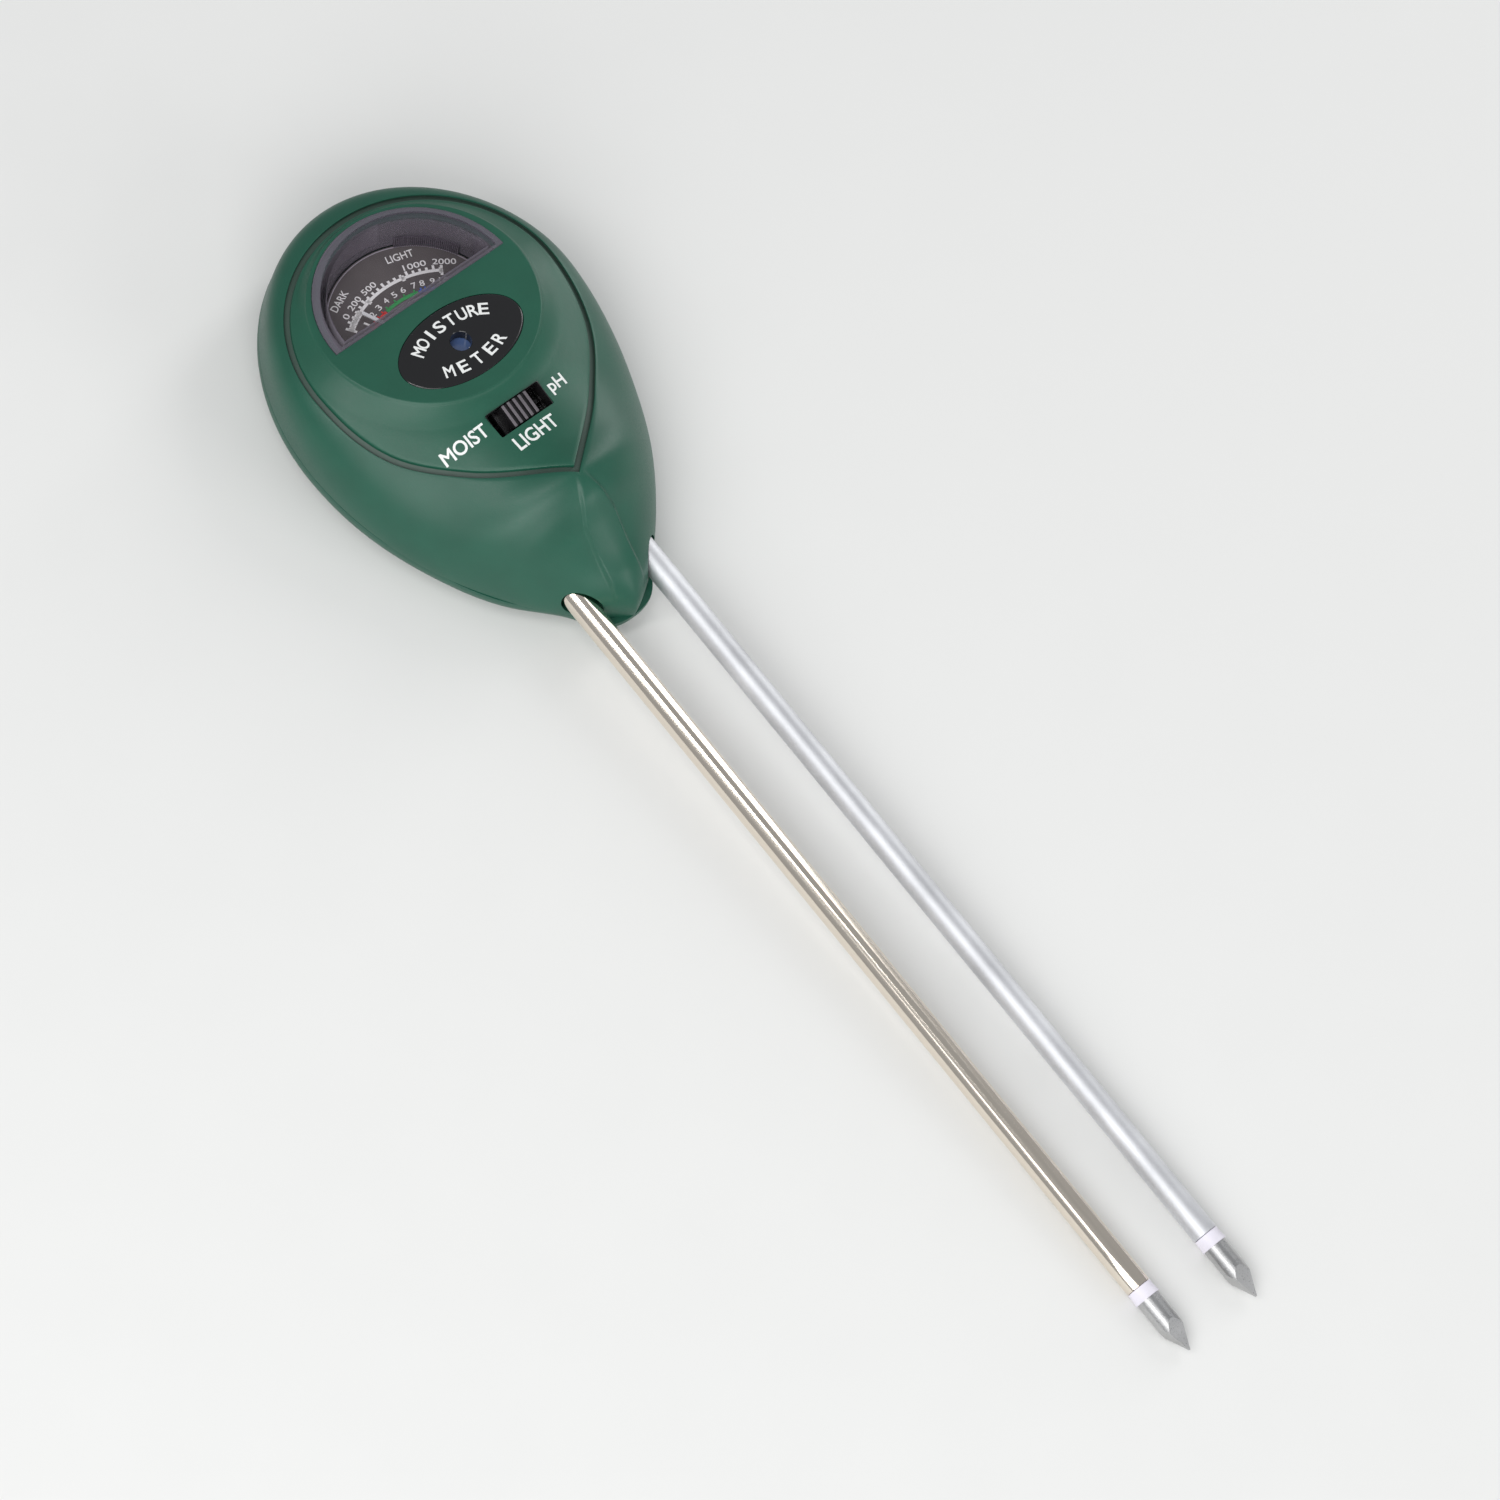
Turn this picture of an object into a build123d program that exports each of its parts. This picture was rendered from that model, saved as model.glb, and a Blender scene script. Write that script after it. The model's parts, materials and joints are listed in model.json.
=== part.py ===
from build123d import *
import os
from math import cos, pi, radians, sin

# Soil meter with two probes, lying on its back: +Y runs from the probe tips to the head,
# +X is to the right of someone who reads the dial, and Z = 0 is the surface it lies on.
# Body parts are laid out from the seam plane between the front shell and the back cover:
# x across, y towards the head from the middle of the dial turret, z out of the face.

# ---- Driving dimensions (mm) ----
REST_TILT = 2.7  # degrees that the seam plane rises towards the head

HALF_WIDTH = 32.4  # egg outline of the body
WIDEST_Y = -11.0
HEAD_LENGTH = 38.5  # widest point to the top of the head
NOSE_LENGTH = 56.5  # widest point to the end of the nose
BACK_DEPTH = 9.9  # back cover below the seam
WALL = 2.0

PROBE_SPACING = 16.8
PROBE_HEIGHT = 3.4  # probe axes above the seam
PROBE_RADIUS = 2.5
PROBE_BORE = 2.0
PROBE_INNER_END = -36.0
TIP_Y = -236.8
POINT_LENGTH = 6.5
TIP_LENGTH = 11.9
TIP_RADIUS = 2.35
RING_LENGTH = 2.5
RING_RADIUS = 2.65
STUD_RADIUS = 1.2

TURRET_RADIUS = 22.0
TURRET_HEIGHT = 16.3  # turret face above the seam at y = 0
TURRET_TILT = 10.5  # degrees that the turret face leans towards the head
GROOVE = 1.1  # width of the groove between the shell and the face panel
GROOVE_DEPTH = 1.0

WINDOW_RADIUS = 20.0
WINDOW_Y = 0.9  # straight edge of the window
FLANGE = 1.6
WINDOW_RISE = 1.6  # crown of the window above the turret face
CARD_DEPTH = 8.0  # dial card below the turret face
PIVOT_Y = -9.0
NEEDLE_DEPTH = 7.0
NEEDLE_REACH = 18.8
NEEDLE_REST = 22.7  # degrees left of the middle of the scale
SPINDLE_RADIUS = 0.5

LABEL_Y = -10.7
LABEL_SIZE = (13.5, 7.75)  # half axes
SENSOR_RADIUS = 2.05

SLOT_Y = -27.5
SLOT_HEIGHT = 19.3
SLOT_TILT = -8.0
SLOT_SIZE = (12.5, 5.2)
KNOB_SIZE = (5.8, 4.6)

SIDE_SCREWS = [(-27.8, -8.0), (27.8, -8.0)]
NOSE_SCREW = (0.0, -54.5)
SCREW_PLACES = [*SIDE_SCREWS, NOSE_SCREW]
BOSS_RADIUS = 2.8
SCREW_RADIUS = 1.05
SCREW_HEAD = 2.2

# Height and fullness of the front blank along the body: (y, crown height, fullness),
# where a fullness of 2 is an elliptical cross-section and more is squarer.
CROWN = [
    (27.2, 5.8, 2.5),
    (25.5, 9.0, 2.8),
    (22.0, 11.0, 3.0),
    (12.0, 13.3, 3.2),
    (0.0, 15.5, 3.2),
    (-12.0, 17.7, 3.0),
    (-22.0, 19.3, 2.4),
    (-30.0, 19.3, 1.8),
    (-37.0, 20.6, 1.7),
    (-43.5, 23.0, 1.7),
    (-48.0, 21.0, 1.7),
    (-53.0, 15.6, 1.8),
    (-58.5, 10.9, 2.0),
    (-63.5, 8.0, 2.0),
    (-67.2, 3.6, 2.0),
]
CROWN_TOP = 23.0
MIDDLE_Y = WIDEST_Y + (HEAD_LENGTH - NOSE_LENGTH) / 2
HALF_LENGTH = (HEAD_LENGTH + NOSE_LENGTH) / 2

# ---- Planes ----
tilt = radians(REST_TILT)
ring_y = TIP_Y + TIP_LENGTH
head_y = WIDEST_Y + HEAD_LENGTH
seam_rise = RING_RADIUS - ring_y * sin(tilt) - PROBE_HEIGHT * cos(tilt)
seam_shift = -(head_y * cos(tilt) + TIP_Y * cos(tilt) - PROBE_HEIGHT * sin(tilt)) / 2
seam = Plane(origin=(0, seam_shift, seam_rise), x_dir=(1, 0, 0), z_dir=(0, -sin(tilt), cos(tilt)))


def leaning(y, height, lean):
    """Plane on the centre line whose normal leans towards the head by lean degrees."""
    normal = seam.y_dir * sin(radians(lean)) + seam.z_dir * cos(radians(lean))
    return Plane(origin=seam.from_local_coords((0, y, height)), x_dir=(1, 0, 0), z_dir=normal)


def station(y):
    """Cross-section plane of the body at y, facing the probe tips."""
    return Plane(origin=seam.from_local_coords((0, y, 0)), x_dir=(1, 0, 0), z_dir=-seam.y_dir)


turret = leaning(0, TURRET_HEIGHT, TURRET_TILT)
slot = leaning(SLOT_Y, SLOT_HEIGHT, SLOT_TILT)


def depth(below, plane=turret):
    """Plane below a face by that many millimetres."""
    return plane.offset(-below)


def needle_plane(below):
    """Plane square to the needle axis, turned so that its +Y runs along the needle at rest."""
    turn = radians(NEEDLE_REST)
    across = turret.x_dir * cos(turn) + turret.y_dir * sin(turn)
    return Plane(origin=turret.from_local_coords((0, PIVOT_Y, -below)), x_dir=across, z_dir=turret.z_dir)


# ---- Shared outlines and blanks ----
def half_width(y):
    """Half width of the egg outline at y."""
    if y >= WIDEST_Y:
        reach = (y - WIDEST_Y) / HEAD_LENGTH
        return HALF_WIDTH * (1 - reach**2) ** 0.5
    reach = (WIDEST_Y - y) / NOSE_LENGTH
    return HALF_WIDTH * (1 - min(reach, 1) ** 2) ** 0.79


def egg_sketch(plane, size):
    """Egg outline on a plane, scaled about the widest point."""
    with BuildSketch(plane) as egg:
        with BuildLine():
            nose_end = WIDEST_Y - NOSE_LENGTH * size
            flank = [(HALF_WIDTH * size, WIDEST_Y)]
            for part in (0.3, 0.55, 0.75, 0.9):
                flank.append((half_width(WIDEST_Y - NOSE_LENGTH * part) * size,
                              WIDEST_Y - NOSE_LENGTH * part * size))
            right = Spline(*flank, (0, nose_end), tangents=[(0, -1), (-1, 0)])
            mirror(right, about=Plane.YZ)
            EllipticalCenterArc((0, WIDEST_Y), HALF_WIDTH * size, HEAD_LENGTH * size,
                                start_angle=0, arc_size=180)
        make_face()
    return egg.sketch


def front_blank(inset):
    """Solid of the front surface, moved inwards by inset, lofted along the body."""
    across = 1 - inset / HALF_WIDTH
    along = 1 - inset / HALF_LENGTH
    with BuildPart() as blank:
        for y, crown, fullness in CROWN:
            width = half_width(y) * across
            height = crown * (1 - inset / CROWN_TOP)
            arch = []
            for turn in (0, 22, 45, 68, 90, 112, 135, 158, 180):
                angle = radians(turn)
                side = 1 if turn < 90 else -1
                arch.append((side * width * abs(cos(angle)) ** (2 / fullness),
                             height * sin(angle) ** (2 / fullness) if 0 < turn < 180 else 0))
            with BuildSketch(station(MIDDLE_Y + (y - MIDDLE_Y) * along)):
                with BuildLine():
                    top = Spline(*arch, tangents=[(0, 1), (0, -1)])
                    Line(top @ 1, top @ 0)
                make_face()
        loft()
    return blank.part


def back_blank(inset):
    """Solid of the back surface below the seam, moved inwards by inset."""
    with BuildPart() as blank:
        for level in (0, 0.3, 0.6, 0.84, 0.985):
            size = (1 - level**3) ** (1 / 3) * (1 - inset / HALF_WIDTH)
            add_plane = seam.offset(-level * (BACK_DEPTH - inset))
            add(egg_sketch(add_plane, size))
        loft()
    return blank.part


def teardrop(grow):
    """Prism through the face with the outline of the groove, grown by grow."""
    with BuildPart() as prism:
        with BuildSketch(seam.offset(4)):
            with BuildLine():
                flank = Spline((27.9 + grow, -4), (24.4 + 0.9 * grow, -20.5 - 0.4 * grow),
                               (15.2 + 0.75 * grow, -32 - 0.7 * grow), (0, -44 - 1.3 * grow),
                               tangents=[(0, -1), (-0.77, -0.64)])
                mirror(flank, about=Plane.YZ)
                EllipticalCenterArc((0, -4), 27.9 + grow, 27.3 + grow, start_angle=0, arc_size=180)
            make_face()
        extrude(amount=30)
    return prism.part


def window_outline(radius, chord):
    """Half disc with its straight edge at chord, for the current sketch."""
    Circle(radius)
    with Locations((0, chord - radius)):
        Rectangle(2 * radius + 1, 2 * radius, mode=Mode.SUBTRACT)


def save(piece, name):
    """Labels a finished piece and writes it under its name."""
    piece.part.label = name
    export_step(piece.part, f"parts/{name}.step")


os.makedirs("parts", exist_ok=True)
probe_places = [(-PROBE_SPACING / 2, PROBE_HEIGHT), (PROBE_SPACING / 2, PROBE_HEIGHT)]

# ---- Blanks, cut to shape below ----
outer_blank = front_blank(0)
cavity = front_blank(WALL)
ledge_blank = front_blank(GROOVE_DEPTH)
panel_cavity = front_blank(WALL + 1.6)
opening = teardrop(0)
panel_outline = teardrop(-GROOVE)
ledge_outline = teardrop(-0.05)
back_outside = back_blank(0)
back_cavity = back_blank(WALL)

# ---- Housing ----
with BuildPart() as front_shell:
    add(outer_blank)
    add(cavity, mode=Mode.SUBTRACT)
    add(opening, mode=Mode.SUBTRACT)
    with BuildSketch(seam):
        with Locations(*SIDE_SCREWS):
            Circle(BOSS_RADIUS)
    extrude(amount=6.4)
    with BuildSketch(seam):
        with Locations(NOSE_SCREW):
            Circle(BOSS_RADIUS)
    extrude(amount=11.5)
    with BuildSketch(seam):
        with Locations(*SCREW_PLACES):
            Circle(SCREW_RADIUS)
    extrude(amount=5.2, mode=Mode.SUBTRACT)
    with BuildSketch(station(-44)):
        with Locations(*probe_places):
            Circle(PROBE_RADIUS + 0.5)
    extrude(amount=30, mode=Mode.SUBTRACT)
save(front_shell, "front_shell")

with BuildPart() as panel_ledge:
    add(ledge_blank)
    add(ledge_outline, mode=Mode.INTERSECT)

with BuildPart() as face_panel:
    add(outer_blank)
    add(panel_outline, mode=Mode.INTERSECT)
    add(panel_ledge.part)
    with Locations(turret):
        Cone(TURRET_RADIUS + 1.2, TURRET_RADIUS - 0.4, 3.6, align=(Align.CENTER, Align.CENTER, Align.MAX))
    add(panel_cavity, mode=Mode.SUBTRACT)
    with BuildSketch(depth(2.0)):
        with Locations((0, WINDOW_Y)):
            Circle(TURRET_RADIUS - 2.4)
    extrude(amount=-9, mode=Mode.SUBTRACT)
    with BuildSketch(turret.offset(1)):
        with Locations((0, WINDOW_Y)):
            window_outline(WINDOW_RADIUS + 0.1, -0.1)
    extrude(amount=-2.0, mode=Mode.SUBTRACT)
    with BuildSketch(turret.offset(1)):
        with Locations((0, WINDOW_Y)):
            window_outline(WINDOW_RADIUS - FLANGE + 0.1, 0.8)
    extrude(amount=-9, mode=Mode.SUBTRACT)
    with BuildSketch(turret.offset(1)):
        with Locations((0, LABEL_Y)):
            Ellipse(LABEL_SIZE[0] + 0.1, LABEL_SIZE[1] + 0.1)
    extrude(amount=-1.5, mode=Mode.SUBTRACT)
    with BuildSketch(turret):
        with Locations((0, LABEL_Y)):
            Circle(SENSOR_RADIUS + 0.3)
    extrude(amount=-6, mode=Mode.SUBTRACT)
    with BuildSketch(slot.offset(4)):
        Rectangle(*SLOT_SIZE)
    extrude(amount=-9, mode=Mode.SUBTRACT)
save(face_panel, "face_panel")

with BuildPart() as back_cover:
    add(back_outside)
    add(back_cavity, mode=Mode.SUBTRACT)
    with BuildSketch(seam):
        with Locations(*SIDE_SCREWS):
            Circle(BOSS_RADIUS + 0.4)
    extrude(amount=-5)
    with BuildSketch(seam):
        with Locations(NOSE_SCREW):
            Circle(BOSS_RADIUS + 0.4)
    extrude(amount=-7)
    with BuildSketch(seam):
        with Locations(*SCREW_PLACES):
            Circle(SCREW_RADIUS + 0.3)
    extrude(amount=-4, mode=Mode.SUBTRACT)
    with BuildSketch(seam.offset(-3)):
        with Locations(*SCREW_PLACES):
            Circle(SCREW_HEAD + 0.2)
    extrude(amount=-9, mode=Mode.SUBTRACT)
    split(bisect_by=Plane.XY, keep=Keep.TOP)
save(back_cover, "back_cover")

with BuildPart() as cover_screws:
    with BuildSketch(seam.offset(-3)):
        with Locations(*SCREW_PLACES):
            Circle(SCREW_HEAD)
    extrude(amount=-1.5)
    with BuildSketch(seam.offset(-4.5)):
        with Locations(*SCREW_PLACES):
            Rectangle(2.6, 0.6)
            Rectangle(0.6, 2.6)
    extrude(amount=0.9, mode=Mode.SUBTRACT)
    with BuildSketch(seam.offset(-3)):
        with Locations(*SCREW_PLACES):
            Circle(SCREW_RADIUS)
    extrude(amount=8)
save(cover_screws, "cover_screws")

# ---- Window, dial card and label ----
with BuildPart() as dial_window:
    with BuildSketch(depth(0.9)):
        with Locations((0, WINDOW_Y)):
            window_outline(WINDOW_RADIUS, 0)
    extrude(amount=1.3)
    with BuildSketch(depth(CARD_DEPTH - 0.1)):
        with Locations((0, WINDOW_Y)):
            window_outline(WINDOW_RADIUS - FLANGE, FLANGE / 2 + 0.1)
    extrude(amount=CARD_DEPTH - 0.1 + WINDOW_RISE)
    with BuildSketch(depth(CARD_DEPTH)):
        with Locations((0, WINDOW_Y)):
            window_outline(WINDOW_RADIUS - FLANGE - 1.1, FLANGE / 2 + 1.0)
    extrude(amount=CARD_DEPTH + WINDOW_RISE - 1.0, mode=Mode.SUBTRACT)
    with BuildSketch(depth(CARD_DEPTH)):
        with Locations((0, WINDOW_Y + 1)):
            Rectangle(28, 4)
    extrude(amount=CARD_DEPTH - 3.4, mode=Mode.SUBTRACT)
save(dial_window, "dial_window")

with BuildPart() as dial_card:
    with BuildSketch(depth(CARD_DEPTH + 0.5)):
        with Locations((0, WINDOW_Y)):
            window_outline(WINDOW_RADIUS - FLANGE - 1.3, -3.2)
    extrude(amount=0.5)
save(dial_card, "dial_card")

with BuildPart() as label_plate:
    with BuildSketch(depth(0.4)):
        with Locations((0, LABEL_Y)):
            Ellipse(*LABEL_SIZE)
            Circle(SENSOR_RADIUS, mode=Mode.SUBTRACT)
    extrude(amount=0.5)
save(label_plate, "label_plate")

with BuildPart() as sensor_holder:
    with BuildSketch(depth(4.3)):
        with Locations((0, LABEL_Y)):
            Circle(3.9)
    extrude(amount=2.2)
    with BuildSketch(depth(3.3)):
        with Locations((0, LABEL_Y)):
            Circle(SENSOR_RADIUS + 0.5)
    extrude(amount=3, mode=Mode.SUBTRACT)
save(sensor_holder, "sensor_holder")

with BuildPart() as light_sensor:
    with BuildSketch(depth(3.25)):
        with Locations((0, LABEL_Y)):
            Circle(SENSOR_RADIUS + 0.4)
    extrude(amount=1.0)
save(light_sensor, "light_sensor")

# ---- Movement: needle, coil, magnet and bearings, on an axis square to the dial card ----
with BuildPart() as movement_tray:
    with BuildSketch(depth(CARD_DEPTH + 2.0)):
        with Locations((0, WINDOW_Y)):
            window_outline(WINDOW_RADIUS - FLANGE - 1.0, -3.0)
        with Locations((0, PIVOT_Y - 2)):
            Rectangle(25, 18)
        with Locations((0, PIVOT_Y)):
            Circle(8.5, mode=Mode.SUBTRACT)
    extrude(amount=1.4)
save(movement_tray, "movement_tray")

with BuildPart() as needle:
    with BuildSketch(needle_plane(NEEDLE_DEPTH + 0.3)):
        Circle(1.9)
        with BuildLine():
            Polyline((-0.45, 0), (-0.32, NEEDLE_REACH), (0.32, NEEDLE_REACH), (0.45, 0), (0.45, -6),
                     (-0.45, -6), close=True)
        make_face()
        Circle(SPINDLE_RADIUS, mode=Mode.SUBTRACT)
    extrude(amount=0.3)
save(needle, "needle")

with BuildPart() as needle_hub:
    with BuildSketch(needle_plane(NEEDLE_DEPTH + 1.3)):
        Circle(1.7)
        with Locations((0, -3.2)):
            Rectangle(0.9, 4.4)
        with Locations((0, -5.6)):
            Circle(1.1)
        Circle(SPINDLE_RADIUS, mode=Mode.SUBTRACT)
    extrude(amount=1.0)
save(needle_hub, "needle_hub")

with BuildPart() as moving_coil:
    with BuildSketch(Plane(origin=turret.from_local_coords((0, PIVOT_Y, -14.0)), x_dir=turret.x_dir,
                           z_dir=turret.y_dir)):
        Rectangle(11.2, 8.0)
        Rectangle(9.4, 6.4, mode=Mode.SUBTRACT)
    extrude(amount=1.0, both=True)
save(moving_coil, "moving_coil")

with BuildPart() as pivot_spindle:
    with BuildSketch(depth(10.0)):
        with Locations((0, PIVOT_Y)):
            Circle(SPINDLE_RADIUS)
    extrude(amount=4.4)
    with BuildSketch(depth(18.6)):
        with Locations((0, PIVOT_Y)):
            Circle(SPINDLE_RADIUS)
    extrude(amount=0.6)
save(pivot_spindle, "pivot_spindle")

with BuildPart() as magnet_core:
    with BuildSketch(depth(16.5)):
        with Locations((0, PIVOT_Y)):
            Circle(4.0)
    extrude(amount=5.0)
save(magnet_core, "magnet_core")

with BuildPart() as magnet_yoke:
    with BuildSketch(depth(17.0)):
        with Locations((0, PIVOT_Y)):
            Circle(8.3)
            Circle(6.4, mode=Mode.SUBTRACT)
    extrude(amount=6.4)
save(magnet_yoke, "magnet_yoke")

with BuildPart() as hairspring:
    with BuildSketch(depth(9.5)):
        with BuildLine():
            coil_points = []
            for step in range(0, 29):
                angle = step * pi / 4
                radius = 1.0 + 0.1 * step
                coil_points.append((radius * cos(angle), PIVOT_Y + radius * sin(angle)))
            Spline(*coil_points)
        trace(line_width=0.16)
    extrude(amount=0.5)
save(hairspring, "hairspring")

with BuildPart() as upper_bridge:
    with BuildSketch(depth(5.6)):
        with Locations((0, PIVOT_Y)):
            SlotOverall(23, 4.0)
            Circle(0.9, mode=Mode.SUBTRACT)
    extrude(amount=1.0)
    with BuildSketch(depth(CARD_DEPTH + 0.6)):
        with Locations((-9.5, PIVOT_Y), (9.5, PIVOT_Y)):
            Circle(1.6)
    extrude(amount=3.2)
save(upper_bridge, "upper_bridge")

with BuildPart() as lower_bridge:
    with BuildSketch(depth(19.4)):
        with Locations((0, PIVOT_Y)):
            Circle(8.3)
            Circle(0.9, mode=Mode.SUBTRACT)
    extrude(amount=2.0)
    with BuildSketch(depth(17.4)):
        with Locations((-7.4, PIVOT_Y), (7.4, PIVOT_Y)):
            Circle(0.8)
    extrude(amount=0.4)
    with BuildSketch(depth(17.4)):
        with Locations((0, PIVOT_Y)):
            Circle(6.6)
    extrude(amount=-1.0, mode=Mode.SUBTRACT)
save(lower_bridge, "lower_bridge")

with BuildPart() as jewel_screws:
    with BuildSketch(depth(5.6)):
        with Locations((0, PIVOT_Y)):
            Circle(0.9)
    extrude(amount=1.2)
    with BuildSketch(depth(19.4)):
        with Locations((0, PIVOT_Y)):
            Circle(0.9)
    extrude(amount=0.8)
save(jewel_screws, "jewel_screws")

with BuildPart() as needle_stops:
    with BuildSketch(depth(CARD_DEPTH)):
        with Locations((0, PIVOT_Y)):
            with PolarLocations(16.0, 2, start_angle=90 - 37.5, angular_range=75, endpoint=True):
                Circle(0.3)
    extrude(amount=1.6)
save(needle_stops, "needle_stops")

# ---- Slide switch ----
with BuildPart() as switch_knob:
    with BuildSketch(depth(4.6, slot)):
        Rectangle(KNOB_SIZE[0] + 1.4, KNOB_SIZE[1])
    extrude(amount=0.9)
    with BuildSketch(depth(3.7, slot)):
        Rectangle(*KNOB_SIZE)
    extrude(amount=3.6)
    with BuildSketch(depth(0.1, slot)):
        with GridLocations(1.3, 1, 5, 1):
            Rectangle(0.6, KNOB_SIZE[1])
    extrude(amount=0.6)
save(switch_knob, "switch_knob")

with BuildPart() as switch_frame:
    with BuildSketch(depth(10.2, slot)):
        Rectangle(15.6, 7.6)
    extrude(amount=5.2)
    with BuildSketch(depth(5.2, slot)):
        Rectangle(18, 5.0)
    extrude(amount=0.4)
    with BuildSketch(depth(10.2, slot)):
        Rectangle(15.0, 7.0)
    extrude(amount=4.7, mode=Mode.SUBTRACT)
    with BuildSketch(depth(6, slot)):
        Rectangle(13.4, 5.0)
    extrude(amount=2, mode=Mode.SUBTRACT)
save(switch_frame, "switch_frame")

with BuildPart() as switch_base:
    with BuildSketch(depth(10.2, slot)):
        Rectangle(14.8, 6.8)
    extrude(amount=2.0)
    with BuildSketch(depth(8.2, slot)):
        Rectangle(14.8, 0.8)
    extrude(amount=2.0)
save(switch_base, "switch_base")

with BuildPart() as switch_terminals:
    with BuildSketch(depth(10.2, slot)):
        with GridLocations(3.2, 4.0, 4, 2):
            Rectangle(1.0, 0.4)
    extrude(amount=-2.6)
save(switch_terminals, "switch_terminals")

# ---- Circuit board ----
with BuildPart() as circuit_board:
    with BuildSketch(depth(14.0, slot)):
        with Locations((0, -1.2)):
            Rectangle(24, 11)
    extrude(amount=1.2)
save(circuit_board, "circuit_board")

with BuildPart() as board_resistors:
    for x in (-9.2, 9.2):
        resistor_end = Plane(origin=slot.from_local_coords((x, -3.2, -11.8)), x_dir=slot.x_dir,
                             z_dir=slot.y_dir)
        with BuildSketch(resistor_end):
            Circle(1.0)
        extrude(amount=6.4)
save(board_resistors, "board_resistors")

# ---- Probes ----
for name, place in (("left_probe", probe_places[0]), ("right_probe", probe_places[1])):
    with BuildPart() as probe:
        with BuildSketch(station(PROBE_INNER_END)):
            with Locations(place):
                Circle(PROBE_RADIUS)
                Circle(PROBE_BORE, mode=Mode.SUBTRACT)
        extrude(amount=PROBE_INNER_END - ring_y - RING_LENGTH)
    save(probe, name)

with BuildPart() as insulating_rings:
    for x, height in probe_places:
        ring_side = Plane(origin=seam.from_local_coords((x, ring_y, height)), x_dir=(1, 0, 0),
                          z_dir=seam.z_dir)
        with BuildSketch(ring_side):
            with BuildLine():
                Line((STUD_RADIUS, 0), (RING_RADIUS, 0))
                flare = ThreePointArc((RING_RADIUS, 0), (PROBE_RADIUS - 0.04, RING_LENGTH * 0.62),
                                      (PROBE_RADIUS, RING_LENGTH))
                Polyline(flare @ 1, (PROBE_BORE, RING_LENGTH), (PROBE_BORE, RING_LENGTH + 4),
                         (STUD_RADIUS, RING_LENGTH + 4), (STUD_RADIUS, 0))
            make_face()
        revolve(axis=Axis(ring_side.origin, seam.y_dir))
save(insulating_rings, "insulating_rings")

tips = []
for x, height in probe_places:
    shoulder = Plane(origin=seam.from_local_coords((x, ring_y, height)), x_dir=(1, 0, 0),
                     z_dir=-seam.y_dir)
    with BuildPart() as tip:
        with BuildSketch(shoulder.offset(TIP_LENGTH - POINT_LENGTH)):
            Rectangle(2 * TIP_RADIUS + 0.02, 2 * TIP_RADIUS + 0.02)
        with BuildSketch(shoulder.offset(TIP_LENGTH)):
            Rectangle(0.24, 0.24)
        loft()
        with BuildSketch(shoulder):
            Circle(TIP_RADIUS)
        extrude(amount=TIP_LENGTH, mode=Mode.INTERSECT)
        with BuildSketch(shoulder):
            Circle(TIP_RADIUS)
        extrude(amount=TIP_LENGTH - POINT_LENGTH)
        with BuildSketch(shoulder):
            Circle(STUD_RADIUS)
        extrude(amount=-RING_LENGTH - 5)
    tips.append(tip.part)

with BuildPart() as probe_tips:
    add(tips)
save(probe_tips, "probe_tips")

with BuildPart() as probe_clamp:
    with BuildSketch(station(-41)):
        with Locations((0, PROBE_HEIGHT)):
            RectangleRounded(27, 8.4, 2)
        with Locations(*probe_places):
            Circle(PROBE_RADIUS, mode=Mode.SUBTRACT)
    extrude(amount=8)
save(probe_clamp, "probe_clamp")

with BuildPart() as solder_tags:
    with BuildSketch(station(PROBE_INNER_END)):
        with Locations(*probe_places):
            Circle(PROBE_RADIUS + 0.4)
            Circle(STUD_RADIUS, mode=Mode.SUBTRACT)
        with Locations((probe_places[0][0] - 3.6, PROBE_HEIGHT), (probe_places[1][0] + 3.6, PROBE_HEIGHT)):
            Rectangle(2.4, 1.6)
    extrude(amount=-0.4)
save(solder_tags, "solder_tags")

# ---- Fixed wires inside the housing ----
wire_runs = [
    ("left_probe_wire", [(-12.4, -35.2, 3.4), (-12.4, -31.0, 3.4), (-15.5, -27.0, 2.6), (-15.5, -21.0, 1.6)]),
    ("right_probe_wire", [(12.4, -35.2, 3.4), (12.4, -31.0, 3.4), (15.5, -27.0, 2.6), (15.5, -21.0, 1.6)]),
    ("meter_wire", [(11.5, -12.0, -4.8), (11.5, -18.0, -5.0), (9.0, -23.0, -4.4), (9.0, -29.0, -4.0)]),
]
for name, route in wire_runs:
    with BuildPart() as wire:
        with BuildLine():
            corners = [seam.from_local_coords(point) for point in route]
            path = FilletPolyline(*corners, radius=[2.0, 2.0])
        with BuildSketch(Plane(origin=path @ 0, z_dir=path % 0)):
            Circle(0.55)
        sweep()
    save(wire, name)
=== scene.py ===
import json
from math import atan2, cos, pi, radians, sin, tan

import bmesh
import bpy
import numpy as np
from mathutils import Matrix, Vector

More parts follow.
